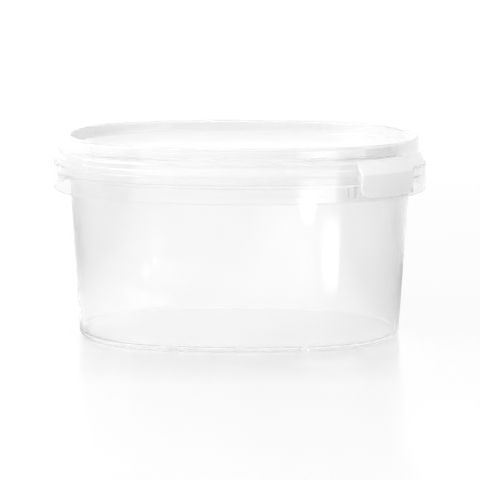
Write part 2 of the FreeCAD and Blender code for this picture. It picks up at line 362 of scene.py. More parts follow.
class Graph:
    """Node tree of a material or of the world, built from values and plain numbers."""

    def __init__(self, tree: bpy.types.NodeTree) -> None:
        """Takes over an empty tree."""
        self.tree = tree
        tree.nodes.clear()

    def node(self, kind: str, settings: dict[str, Any], inputs: dict[Any, Any]) -> bpy.types.Node:
        """Adds any node.

        Args:
            kind: node type.
            settings: its properties, set first.
            inputs: a number, colour, Value or socket for each input, by name or number.

        Returns:
            The node.
        """
        made = self.tree.nodes.new(kind)
        for name, value in settings.items():
            setattr(made, name, value)
        for name, value in inputs.items():
            if isinstance(value, Value):
                value = value.socket
            if isinstance(value, bpy.types.NodeSocket):
                self.tree.links.new(value, made.inputs[name])
            else:
                made.inputs[name].default_value = value
        return made

    def place(self, scale: tuple[float, float, float]) -> bpy.types.NodeSocket:
        """Object coordinates, in metres, scaled along each axis."""
        source = self.node("ShaderNodeTexCoord", {}, {})
        mapping = self.node(
            "ShaderNodeMapping", {}, {"Vector": source.outputs["Object"], "Scale": scale}
        )
        return mapping.outputs["Vector"]

    def axis(self, name: str) -> Value:
        """Object coordinate along X, Y or Z, in metres."""
        parts = self.node("ShaderNodeSeparateXYZ", {}, {0: self.place((1.0, 1.0, 1.0))})
        return Value(self, parts.outputs[name])

    def noise(self, scale: tuple[float, float, float], detail: float = 2.0) -> Value:
        """Noise between 0 and 1.

        Args:
            scale: one over the grain's size in metres, along each axis.
            detail: octaves of finer grain.

        Returns:
            The noise.
        """
        node = self.node(
            "ShaderNodeTexNoise",
            {"noise_dimensions": "3D"},
            {"Vector": self.place(scale), "Scale": 1.0, "Detail": detail, "Roughness": 0.5},
        )
        return Value(self, node.outputs["Fac"])

    def rays(self) -> Callable[[str], Value]:
        """Reader of the kinds of ray that the shader is seen by."""
        path = self.node("ShaderNodeLightPath", {}, {})
        return lambda kind: Value(self, path.outputs[kind])

    def blend(
        self, share: Value, low: Sequence[float], high: Sequence[float]
    ) -> bpy.types.NodeSocket:
        """Colour between two colours.

        Args:
            share: how far the colour has gone from low to high.
            low: colour at share 0.
            high: colour at share 1.

        Returns:
            The colour's socket.
        """
        node = self.node(
            "ShaderNodeMix",
            {"data_type": "RGBA"},
            {0: share, 6: (*low, 1.0), 7: (*high, 1.0)},
        )
        return node.outputs[2]

    def bump(self, height: Value, reach: float) -> bpy.types.NodeSocket:
        """Normal of a relief whose height runs from 0 to reach, in metres."""
        inputs = {"Strength": 1.0, "Distance": reach, "Height": height}
        return self.node("ShaderNodeBump", {}, inputs).outputs["Normal"]

    def finish(
        self, surface: bpy.types.NodeSocket, output: str = "ShaderNodeOutputMaterial"
    ) -> None:
        """Links the last shader to the tree's output."""
        self.node(output, {}, {"Surface": surface})


# --- finishes ----------------------------------------------------------------------------------
class Ray(Enum):
    """Kinds of ray that may see a lamp or a card."""

    CAMERA = "visible_camera"
    DIFFUSE = "visible_diffuse"
    GLOSSY = "visible_glossy"
    TRANSMISSION = "visible_transmission"
    SHADOW = "visible_shadow"


@dataclass(frozen=True)
class ClearPlastic:
    """Clear polypropylene: faintly wavy, faintly hazy, with fine flow lines up the walls."""

    name: str
    tint: tuple[float, float, float] = (0.955, 0.955, 0.955)
    haze_tint: tuple[float, float, float] = (0.935, 0.935, 0.935)
    clear_roughness: float = 0.02
    hazy_roughness: float = 0.07
    milkiness: float = 0.18
    edge_milk: float = 0.5
    milk_tint: tuple[float, float, float] = (0.93, 0.93, 0.93)
    milk_roughness: float = 0.3
    wave_reach: float = 0.00006
    flow_share: float = 0.02
    index: float = 1.49
    # painted highlight along the foot's lowest edge: its share of milk, and the heights in metres
    # over which it fades out
    foot_highlight_milk: float = 0.85
    foot_highlight_band: tuple[float, float] = (0.0007, 0.0014)
    edge_falloff: float = 4.0
    haze_range: tuple[float, float] = (0.35, 0.7)
    haze_grain: tuple[float, float, float] = (30.0, 30.0, 12.0)
    flow_grain: tuple[float, float, float] = (420.0, 420.0, 14.0)
    wave_grain: tuple[float, float, float] = (38.0, 38.0, 16.0)
    shadow_tint: tuple[float, float, float] = (0.97, 0.97, 0.97)

    def material(self) -> bpy.types.Material:
        """Builds the material.

        Haze is slow noise, drawn out upwards as the melt flows from the floor to the rim; it
        drives roughness and tint. Relief is a broad wave of the wall plus fine flow lines. Milk
        shows where the wall is seen edge on, as a power of how far it faces away. Along the foot's
        lowest edge more milk is a painted highlight: a whiter band that stands in for the bright
        line that light makes there. Shadow and diffuse rays pass straight through with a light
        tint, so that the floor keeps a pale shadow.

        Returns:
            The material.
        """
        material = bpy.data.materials.new(self.name)
        material.use_nodes = True
        graph = Graph(material.node_tree)
        haze = graph.noise(self.haze_grain, 3.0).step(*self.haze_range)
        flow = graph.noise(self.flow_grain, 2.0)
        wave = graph.noise(self.wave_grain, 1.0)
        rough = haze * (self.hazy_roughness - self.clear_roughness) + self.clear_roughness
        plastic = graph.node(
            "ShaderNodeBsdfPrincipled",
            {},
            {
                "Base Color": graph.blend(haze, self.tint, self.haze_tint),
                "Roughness": rough,
                "Normal": graph.bump(wave + flow * self.flow_share, self.wave_reach),
                "Transmission Weight": 1.0 - self.milkiness,
                "IOR": self.index,
            },
        )
        facing = graph.node("ShaderNodeLayerWeight", {}, {"Blend": 0.5}).outputs["Facing"]
        # painted highlight: a whiter, milky band along the foot's lowest edge stands in for the
        # bright line that light makes there
        foot = (1 - graph.axis("Z").step(*self.foot_highlight_band)) * self.foot_highlight_milk
        edge = (Value(graph, facing) ** self.edge_falloff * self.edge_milk).most(foot)
        milk = graph.node(
            "ShaderNodeBsdfPrincipled",
            {},
            {"Base Color": (*self.milk_tint, 1.0), "Roughness": self.milk_roughness},
        )
        mix = graph.node(
            "ShaderNodeMixShader", {}, {0: edge, 1: plastic.outputs[0], 2: milk.outputs[0]}
        )
        graph.finish(self.see_through(graph, mix.outputs[0]))
        return material

    def see_through(self, graph: Graph, shader: bpy.types.NodeSocket) -> bpy.types.NodeSocket:
        """Shader that shadow and diffuse rays pass with a tint instead.

        Args:
            graph: the material's graph.
            shader: what every other ray meets.

        Returns:
            The mixed shader's socket.
        """
        kind = graph.rays()
        clear = graph.node("ShaderNodeBsdfTransparent", {}, {"Color": (*self.shadow_tint, 1.0)})
        for ray in ("Is Diffuse Ray", "Is Shadow Ray"):
            inputs = {0: kind(ray), 1: shader, 2: clear.outputs[0]}
            shader = graph.node("ShaderNodeMixShader", {}, inputs).outputs[0]
        return shader


@dataclass(frozen=True)
class FrostedPlastic(ClearPlastic):
    """The same plastic off a grained mould face, which scatters what is seen through it."""

    tint: tuple[float, float, float] = (0.985, 0.985, 0.985)
    haze_tint: tuple[float, float, float] = (0.96, 0.96, 0.96)
    clear_roughness: float = 0.28
    hazy_roughness: float = 0.36
    milkiness: float = 0.45
    edge_milk: float = 0.0
    wave_reach: float = 0.00004


# --- sub-assemblies ----------------------------------------------------------------------------
@dataclass
class Moulding:
    """Sizes that the tub and the lid share."""

    oval: Oval
    rim_height: float
    wall: float = 0.75
    soft_edge: float = 0.35
    base_inset: float = 10.0
    rim_inset: float = 5.5
    collar_wall: float = 0.9
    collar_drop: float = 9.9
    collar_height: float = 10.3
    flange_drop: float = 13.4
    tab_bearing: float = -49.0
    tab_width: float = 26.0
    tab_gap: float = 0.35
    station_step: float = 1.25
    jump: float = 0.04

    @property
    def collar_top(self) -> float:
        """Height of the collar's upper edge."""
        return self.rim_height - self.collar_drop

    @property
    def collar_bottom(self) -> float:
        """Height of the collar's lower edge."""
        return self.collar_top - self.collar_height

    @property
    def flange_top(self) -> float:
        """Height of the flange's upper face."""
        return self.rim_height - self.flange_drop

    def wall_inset(self, height: np.ndarray | float) -> np.ndarray | float:
        """Inset of the drafted outer wall at a height: a straight line from the foot to the rim."""
        return self.base_inset + (self.rim_inset - self.base_inset) * height / self.rim_height

    def from_tab(self, bearing: np.ndarray) -> np.ndarray:
        """Distance round the end arc from the tab's middle, in millimetres, taken the short way."""
        turned = (bearing - math.radians(self.tab_bearing) + math.pi) % (2 * math.pi) - math.pi
        return turned * self.oval.end_radius

    def marks_by_tab(self, distances: Sequence[float]) -> np.ndarray:
        """Bearings where a section may jump, each as a pair a hair's breadth apart.

        Args:
            distances: millimetres round the end arc from the tab's middle.

        Returns:
            Two bearings for each distance.
        """
        places = np.asarray(distances, float)
        pairs = np.concatenate([places - self.jump, places + self.jump])
        return math.radians(self.tab_bearing) + pairs / self.oval.end_radius

    def corners(self, table: Sequence[tuple], count: int) -> tuple[np.ndarray, list[float]]:
        """Spreads a table of (inset, height, fillet) over the stations.

        Args:
            table: rows whose inset and height are numbers or arrays over the stations.
            count: number of stations.

        Returns:
            (corner, station, 2) insets and heights, and the fillets.
        """
        spread = [
            np.stack([np.broadcast_to(inset, count), np.broadcast_to(height, count)], -1)
            for inset, height, _ in table
        ]
        return np.array(spread, float), [fillet for _, _, fillet in table]

    def skin(self, section: np.ndarray, bearing: np.ndarray) -> np.ndarray:
        """Points of a section carried round the oval, with its open ends drawn in over the middle.

        Each end row is repeated at falling shares of its distance from the middle, which makes the
        flat floor or panel.

        Args:
            section: (row, station, 2) insets and heights.
            bearing: bearing of each station.

        Returns:
            (row, station, 3) points.
        """
        x, y = self.oval.at(bearing[None, :], section[..., 0])
        rows = np.stack([x, y, section[..., 1]], -1)
        shares = np.array(FLAT_SHARES)[:, None]
        flats = []
        for row, order in ((rows[0], shares), (rows[-1], shares[::-1])):
            flat = np.repeat(row[None], len(shares), axis=0)
            flat[..., :2] *= order[..., None]
            flats.append(flat)
        return np.concatenate([flats[0], rows, flats[1]])


@dataclass
class Tub:
    """Tub: floor on a ring-shaped foot, drafted wall, flanged collar and turned-down rim."""

    shared: Moulding
    base_radius: float = 1.9
    foot_width: float = 1.6
    floor_lift: float = 0.9
    floor_radius: float = 1.2
    slot_spacing: float = 51.0
    slot_width: float = 3.0
    lip_inset: float = 3.75
    lip_drop: float = 3.0
    lip_radius: float = 0.6
    flange: float = 0.9
    web_width: float = 1.6
    web_gap: float = 2.4
    web_short: float = 1.2
    notch_clear: float = 0.8
    notch_slant: float = 1.0
    slot_depth: float = 0.96
    sideways_from: float = 0.9

    def foot_height(self, bearing: np.ndarray) -> np.ndarray:
        """Height of the foot's underside: near the floor inside a drain slot, and 0 elsewhere.

        Args:
            bearing: bearing of each station.

        Returns:
            A height for each station; slot_depth is the share of the floor's lift that a slot
            takes.
        """
        inset = self.shared.base_inset
        along, _ = self.shared.oval.at(bearing, np.full_like(bearing, inset))
        on_side = np.abs(np.sin(bearing)) > self.sideways_from
        inside = np.abs(np.abs(along) - self.slot_spacing / 2) < self.slot_width / 2
        return np.where(inside & on_side, self.floor_lift * self.slot_depth, 0.0)

    def slot_marks(self) -> np.ndarray:
        """Bearings of the drain slots' edges along both long sides, in pairs.

        An edge at a distance d along the side lies off the side's middle by the arcsine of d over
        the foot line's radius. Past the side arc's end, the end arc's centre and radius count
        instead.

        Returns:
            The bearings.
        """
        s = self.shared
        reach = s.oval.side_radius - s.base_inset
        middles = np.array([-1.0, 1.0])[:, None] * self.slot_spacing / 2
        edges = middles + np.array([-1.0, 1.0]) * self.slot_width / 2
        edges = np.concatenate([edges.ravel() - s.jump, edges.ravel() + s.jump])
        beyond = np.abs(edges) > reach * math.sin(s.oval.side_half_angle)
        end = (np.abs(edges) - s.oval.end_centre) / (s.oval.end_radius - s.base_inset)
        turn = np.where(beyond, np.arcsin(np.clip(end, -1, 1)), np.arcsin(np.abs(edges) / reach))
        turn = np.sign(edges) * turn
        return np.concatenate([math.pi / 2 - turn, turn - math.pi / 2])

    def section(self, bearing: np.ndarray) -> np.ndarray:
        """Section from the floor's underside round the outside and in over the rim to the floor.

        The collar's top falls to the flange along the notch's slanted ends, and the flange's
        underside drops to the web's foot where a web stands.

        Args:
            bearing: bearing of each station.

        Returns:
            (row, station, 2) insets and heights.
        """
        s = self.shared
        away = np.abs(s.from_tab(bearing))
        foot = self.foot_height(bearing)
        rise = (away - s.tab_width / 2 - self.notch_clear) / self.notch_slant
        top = s.flange_top + (s.collar_top - s.flange_top) * np.clip(rise, 0, 1)
        web_middle = s.tab_width / 2 + self.web_gap
        in_web = np.abs(away - web_middle) < self.web_width / 2
        under = np.where(in_web, s.collar_bottom + self.web_short, s.flange_top - self.flange)
        foot_inner = s.base_inset + self.base_radius + self.foot_width
        floor_edge = foot_inner + s.wall
        floor_top = self.floor_lift + s.wall
        rim = s.rim_height
        lip_bottom = rim - self.lip_drop
        table = [
            (floor_edge, self.floor_lift, 0),
            (foot_inner, self.floor_lift, 0.1),
            (foot_inner, foot, 0.1),
            (s.base_inset, foot, self.base_radius),
            (s.wall_inset(under), under, 0.12),
            (s.collar_wall, under, 0.12),
            (s.collar_wall, s.collar_bottom, 0.1),
            (0, s.collar_bottom, s.soft_edge),
            (0, top, s.soft_edge),
            (s.collar_wall, top, 0.1),
            (s.collar_wall, s.flange_top, 0.12),
            (s.wall_inset(s.flange_top), s.flange_top, 0.15),
            (s.wall_inset(rim - s.wall), rim - s.wall, 0.15),
            (self.lip_inset + s.wall, rim - s.wall, 0.15),
            (self.lip_inset + s.wall, lip_bottom, 0.1),
            (self.lip_inset, lip_bottom, s.soft_edge),
            (self.lip_inset, rim, self.lip_radius),
            (s.rim_inset + s.wall, rim, s.soft_edge),
            (s.wall_inset(floor_top) + s.wall, floor_top, self.floor_radius),
            (floor_edge, floor_top, 0),
        ]
        return rounded_rows(*s.corners(table, len(bearing)))

    def build(self) -> bpy.types.Object:
        """Makes the tub, with stations where the notch, the webs and the slots begin and end.

        Returns:
            The tub's object.
        """
        s = self.shared
        foot = s.tab_width / 2 + self.notch_clear
        web = s.tab_width / 2 + self.web_gap
        places = [foot, foot + self.notch_slant, web - self.web_width / 2, web + self.web_width / 2]
        marks = s.marks_by_tab(places + [-place for place in places])
        bearing = s.oval.bearings(s.station_step, np.concatenate([marks, self.slot_marks()]))
        mesh = shell_mesh("tub_skin", s.skin(self.section(bearing), bearing))
        finish = ClearPlastic("clear_wall")
        return piece("clear_tub", mesh, "tub", finish.material())


@dataclass
class Lid:
    """Lid: recessed panel, ridge that grips the rim, skirt inside the collar, tab's apron."""

    shared: Moulding
    crest: float
    ridge_inset: float = 2.85
    ridge_lean: float = 0.15
    crest_radius: float = 0.9
    crest_inner_radius: float = 0.6
    panel_drop: float = 4.7
    panel_radius: float = 0.8
    plug_fit: float = 0.1
    seat_gap: float = 0.03
    shoulder_drop: float = 5.9
    shoulder_radius: float = 0.5
    skirt_inset: float = 1.5
    skirt_bead_drop: float = 2.6
    skirt_fit: float = 0.25
    skirt_clear: float = 0.5
    snap_depth: float = 0.6
    snap_height: float = 1.1
    snap_top_drop: float = 3.1
    apron_past: float = 61.0
    apron_lead: float = 17.0
    apron_rows: tuple[float, float, float] = (0.3, 0.6, 0.85)

    @property
    def shoulder(self) -> float:
        """Height of the shoulder round the ridge."""
        return self.crest - self.shoulder_drop

    @property
    def apron_foot(self) -> float:
        """Height of the apron's lower edge, just over the collar."""
        return self.shared.collar_top + self.shared.tab_gap

    def plug_inset(self, height: float) -> float:
        """Inset of the plug's outer face, which follows the tub's inner face."""
        return self.shared.wall_inset(height) + self.shared.wall + self.plug_fit

    def skirt_or_apron(self, bearing: np.ndarray) -> list[tuple]:
        """Seven corners that are the skirt's or, where the apron runs, the apron's.

        The apron is a straight slope from the ridge's foot out to the tab's gap, of the wall's
        thickness measured square to it, and its outer face gets rows at apron_rows of the way up.

        Args:
            bearing: bearing of each station.

        Returns:
            (inset, height, fillet) rows, with arrays over the stations.
        """
        s = self.shared
        turned = s.from_tab(bearing) / s.oval.end_radius
        low, high = -math.radians(self.apron_lead), math.radians(self.apron_past)
        apron = (turned > low) & (turned < high) & (np.abs(bearing) < math.pi / 2)
        inside = self.ridge_inset + s.wall
        under = self.shoulder - s.wall
        bottom = s.flange_top + self.skirt_clear
        bead = self.shoulder - self.skirt_bead_drop
        low_inset = s.collar_wall + self.skirt_fit
        run = self.ridge_inset - s.tab_gap
        fall = self.shoulder - self.apron_foot
        slope = math.hypot(run, fall)
        back = s.tab_gap + s.wall * slope / fall
        top = self.shoulder - s.wall * slope / run + s.wall * fall / run
        skirt = [
            (inside, under, 0.15),
            (self.skirt_inset + s.wall, under, 0.15),
            (self.skirt_inset + s.wall, bottom, 0.1),
            (low_inset, bottom, s.soft_edge),
            (low_inset, bead - s.soft_edge, 0.2),
            (self.skirt_inset, bead, 0.2),
            (self.skirt_inset, self.shoulder, self.shoulder_radius),
        ]
        sloped = [
            (inside, top),
            ((inside + back) / 2, (top + self.apron_foot) / 2),
            (back, self.apron_foot),
            (s.tab_gap, self.apron_foot),
            *[(s.tab_gap + run * up, self.apron_foot + fall * up) for up in self.apron_rows],
        ]
        return [
            (np.where(apron, a[0], k[0]), np.where(apron, a[1], k[1]), k[2])
            for k, a in zip(skirt, sloped)
        ]

    def section(self, bearing: np.ndarray) -> np.ndarray:
        """Section from the panel's underside over the rim, round the skirt and back over the crest.

        Args:
            bearing: bearing of each station.

        Returns:
            (row, station, 2) insets and heights.
        """
        s = self.shared
        panel_top = self.crest - self.panel_drop
        panel_edge = self.plug_inset(panel_top) + s.wall + self.panel_radius
        channel = self.ridge_inset + s.wall
        snap_top = s.rim_height - self.snap_top_drop
        seat = s.rim_height + self.seat_gap
        table = [
            (panel_edge, panel_top - s.wall, 0),
            (self.plug_inset(panel_top - s.wall), panel_top - s.wall, s.soft_edge),
            (self.plug_inset(s.rim_height), seat, 0.2),
            (channel + self.ridge_lean, seat, 0.3),
            (channel, snap_top, 0.12),
            (channel + self.snap_depth, snap_top - self.snap_height / 2, 0.12),
            (channel, snap_top - self.snap_height, 0.12),
            *self.skirt_or_apron(bearing),
            (self.ridge_inset, self.shoulder, 0.15),
            (self.ridge_inset + self.ridge_lean, self.crest, self.crest_radius),
            (self.plug_inset(self.crest) + s.wall, self.crest, self.crest_inner_radius),
            (self.plug_inset(panel_top) + s.wall, panel_top, s.soft_edge),
            (panel_edge, panel_top, 0),
        ]
        return rounded_rows(*s.corners(table, len(bearing)))

    def build(self) -> bpy.types.Object:
        """Makes the lid without its tab, which has another finish.

        Returns:
            The lid's object.
        """
        s = self.shared
        ends = np.radians([-self.apron_lead, self.apron_past]) * s.oval.end_radius
        bearing = s.oval.bearings(s.station_step, s.marks_by_tab(ends))
        mesh = shell_mesh("lid_skin", s.skin(self.section(bearing), bearing))
        finish = ClearPlastic("clear_lid", (0.985,) * 3, (0.97,) * 3, milkiness=0.26)
        return piece("clear_lid", mesh, "lid", finish.material())


@dataclass
class PullTab:
    """Tab that follows the apron's slope, folds over the collar's edge and hangs down in front."""

    shared: Moulding
    lid: Lid
    wall: float = 1.0
    flare: float = 1.2
    short: float = 1.6
    corner: float = 4.6
    edge: float = 0.3
    lift: float = 0.03
    fold_drop: float = 0.6
    row_step: float = 0.5
    level: float = 1e-6
    bridge_width: float = 1.0
    bridge_height: float = 0.8
    bridge_spread: float = 16.0
    bridge_lift: float = 1.4
    bridge_fit: float = 0.01

    @property
    def bottom(self) -> float:
        """Height of the tab's lower edge."""
        return self.shared.collar_bottom + self.short

    def faces(self) -> tuple[np.ndarray, np.ndarray]:
        """Front and back lines of the tab's section.

        Returns:
            Insets and heights, row by row from the tab's top to its lower edge, of both lines.
        """
        s, lid = self.shared, self.lid
        run = lid.ridge_inset - s.tab_gap
        fall = lid.shoulder - lid.apron_foot
        turn = lid.apron_foot - 2 * s.tab_gap * fall / run
        front_fold = lid.apron_foot + self.wall / 2 - self.fold_drop
        outside, inside, root = -s.tab_gap - self.wall, -s.tab_gap, lid.ridge_inset
        corners = [
            [(root, lid.shoulder + self.wall / 2), (root, lid.shoulder + self.lift)],
            [(outside, front_fold), (inside, turn + self.lift)],
            [(outside, self.bottom), (inside, self.bottom)],
        ]
        folds = [0, np.array([self.wall, s.soft_edge]), 0]
        rows = rounded_rows(np.array(corners), folds, self.row_step)
        return rows[:, 0], rows[:, 1]

    def half_width(self, height: np.ndarray) -> np.ndarray:
        """Half the tab's width at a height.

        A straight flare from the shoulder down, less the corner radius's own falling away, which is
        radius minus the root of (radius squared minus the square of the height missing to it).

        Args:
            height: heights of the rows.

        Returns:
            The half widths.
        """
        top = self.lid.shoulder + self.shared.wall
        share = np.clip((top - height) / (top - self.bottom), 0, 1)
        missing = np.clip(self.corner - (height - self.bottom), 0, self.corner)
        rounding = self.corner - np.sqrt(np.maximum(self.corner ** 2 - missing ** 2, 0))
        return self.shared.tab_width / 2 + self.flare * share - rounding

    def outline(self, flat: int = 26, turn: int = 5) -> tuple[np.ndarray, np.ndarray, np.ndarray]:
        """Closed line round the tab's cross-cut, once round anticlockwise.

        Args:
            flat: points along each face.
            turn: points round each corner.

        Returns:
            The side that each point keeps to (-1 to 1 of the half width less the edge radius), and
            the two parts, across and through, that the edge radius adds to it.
        """
        angles = [np.linspace(0, math.pi / 2, turn) + k * math.pi / 2 for k in range(4)]
        sides = [np.full(turn, side) for side in (1.0, -1.0, -1.0, 1.0)]
        middle = np.linspace(1, -1, flat)[1:-1]
        side = np.concatenate([sides[0], middle, sides[1], sides[2], -middle, sides[3]])
        still = np.full(len(middle), math.pi / 2)
        angle = np.concatenate([angles[0], still, angles[1], angles[2], still + math.pi, angles[3]])
        return side, np.cos(angle), np.sin(angle)

    def build(self) -> bpy.types.Object:
        """Makes the tab.

        A row is the closed outline stretched to that row's half width and thickness. A point that
        lies c to the side of the tab's middle and r from the end's centre stands on the bearing of
        the tab plus the arcsine of c / r. The lower edge is rounded by thinning its last rows.

        Returns:
            The tab's object.
        """
        s = self.shared
        front, back = self.faces()
        height = (front[:, 1] + back[:, 1]) / 2
        rise = np.clip(height - self.bottom, 0, self.edge)
        thick = 1 - self.edge * (1 - np.sqrt(1 - (1 - rise / self.edge) ** 2)) / (self.wall / 2)
        half = self.half_width(height)
        side, across, through = self.outline()
        c = side * (half[:, None] - self.edge) + across * self.edge
        depth = np.sign(through) * (1 - (1 - np.abs(through)) * self.edge / (self.wall / 2))
        depth = np.where(np.abs(through) < self.level, 0.0, depth) * thick[:, None]
        middle, reach = (front + back) / 2, (front - back) / 2
        line = middle[:, None] + depth[..., None] * reach[:, None]
        r = s.oval.end_radius - line[..., 0]
        bearing = math.radians(s.tab_bearing) + np.arcsin(c / r)
        x = s.oval.end_centre + r * np.cos(bearing)
        rows = np.stack([x, r * np.sin(bearing), line[..., 1]], -1)
        mesh = shell_mesh("tab_skin", rows)
        finish = FrostedPlastic("frosted_tab")
        return piece("pull_tab", mesh, "lid", finish.material())

    def build_bridges(self) -> bpy.types.Object:
        """Makes the two break-off bridges that hold the tab to the collar.

        Each is a block between two reaches from the end's centre, which leave a hair's breadth to
        the collar's face and to the tab's back, two bearings and two heights. A point is the end's
        centre plus its reach along its bearing.

        Returns:
            The bridges' object.
        """
        s = self.shared
        reach = s.oval.end_radius + np.array([self.bridge_fit, s.tab_gap - self.bridge_fit])
        side = np.array([-1.0, 1.0])[:, None] * self.bridge_spread / 2
        across = side + np.array([-1.0, 1.0]) * self.bridge_width / 2
        bearing = math.radians(s.tab_bearing) + across / s.oval.end_radius
        low = self.bottom + self.bridge_lift
        height = np.array([low, low + self.bridge_height])
        shape = (2, 2, 2, 2)
        r = np.broadcast_to(reach[None, :, None, None], shape)
        turn = np.broadcast_to(bearing[:, None, :, None], shape)
        z = np.broadcast_to(height[None, None, None, :], shape)
        points = np.stack([s.oval.end_centre + r * np.cos(turn), r * np.sin(turn), z], -1)
        block = np.array([
            (0, 1, 3, 2), (4, 6, 7, 5), (0, 4, 5, 1), (2, 3, 7, 6), (0, 2, 6, 4), (1, 5, 7, 3),
        ])
        quads = np.concatenate([block, block + 8])
        mesh = bpy.data.meshes.new("bridge_blocks")
        mesh.from_pydata((points.reshape(-1, 3) * MM).tolist(), [], quads.tolist())
        finish = FrostedPlastic("frosted_bridges")
        return piece("tab_bridges", mesh, "lid", finish.material())


# --- studio ------------------------------------------------------------------------------------
@dataclass(frozen=True)
class Softbox:
    """Soft lamp that faces a point near the container."""

    name: str
    place: tuple[float, float, float]
    size: tuple[float, float]
    watts: float
    seen_by: tuple[Ray, ...]
    aim: tuple[float, float, float] = (0.0, 0.0, 0.04)

    def build(self) -> None:
        """Adds the lamp."""
        lamp = bpy.data.lights.new(self.name, "AREA")
        lamp.shape = "RECTANGLE"
        lamp.size, lamp.size_y = self.size
        lamp.energy = self.watts
        shown = bpy.data.objects.new(self.name, lamp)
        bpy.context.scene.collection.objects.link(shown)
        shown.location = self.place
        facing = Vector(self.aim) - Vector(self.place)
        shown.rotation_euler = facing.to_track_quat("-Z", "Y").to_euler()
        for ray in Ray:
            setattr(shown, ray.value, ray in self.seen_by)


@dataclass(frozen=True)
class Card:
    """Upright sheet across the front of the studio that glows a flat grey and only reflections
    show: a painted reflection of a darker room, which greys what the container's faces reflect
    towards the front.
    """

    name: str
    middle: tuple[float, float, float]
    half: tuple[float, float]
    level: float

    def build(self) -> None:
        """Adds the card."""
        x, y, z = self.middle
        wide, high = self.half
        edge = [(-wide, -high), (wide, -high), (wide, high), (-wide, high)]
        mesh = bpy.data.meshes.new(self.name)
        mesh.from_pydata([(x + across, y, z + up) for across, up in edge], [], [(0, 1, 2, 3)])
        material = bpy.data.materials.new(self.name)
        material.use_nodes = True
        graph = Graph(material.node_tree)
        grey = (self.level, self.level, self.level, 1.0)
        # painted reflection: a flat glowing grey that only reflections see
        reflected_grey = graph.node("ShaderNodeEmission", {}, {"Color": grey, "Strength": 1.0})
        graph.finish(reflected_grey.outputs[0])
        mesh.materials.append(material)
        card = bpy.data.objects.new(self.name, mesh)
        bpy.context.scene.collection.objects.link(card)
        for ray in Ray:
            setattr(card, ray.value, ray is Ray.GLOSSY)


@dataclass(frozen=True)
class Pool:
    """Wedge of light, or of dark, on the floor that only reflections and clear plastic show."""

    near: tuple[float, float]
    far: tuple[float, float]
    half_near: float
    half_far: float
    strength: float
    blur: float = 0.1
    rise: float = 0.3

    def glow(self, graph: Graph) -> Value:
        """Brightness over the floor.

        With s the distance from the near end towards the far one, and w the distance to the side,
        it is the strength where w is less than the half width at s, with edges as soft as the
        blur. It comes in over the first share, rise, of the way and goes out at the far end.

        Args:
            graph: the floor's graph.

        Returns:
            The brightness.
        """
        length = math.dist(self.near, self.far)
        way = [(f - n) / length for n, f in zip(self.near, self.far)]
        x, y = graph.axis("X") - self.near[0], graph.axis("Y") - self.near[1]
        s = x * way[0] + y * way[1]
        w = abs(x * way[1] - y * way[0])
        half = s * ((self.half_far - self.half_near) / length) + self.half_near
        inside = 1 - (w / half).step(1 - 2 * self.blur, 1 + self.blur)
        ending = s.step(length * (1 - 1.5 * self.blur), length)
        return inside * s.step(0.0, length * self.rise) * (1 - ending) * self.strength


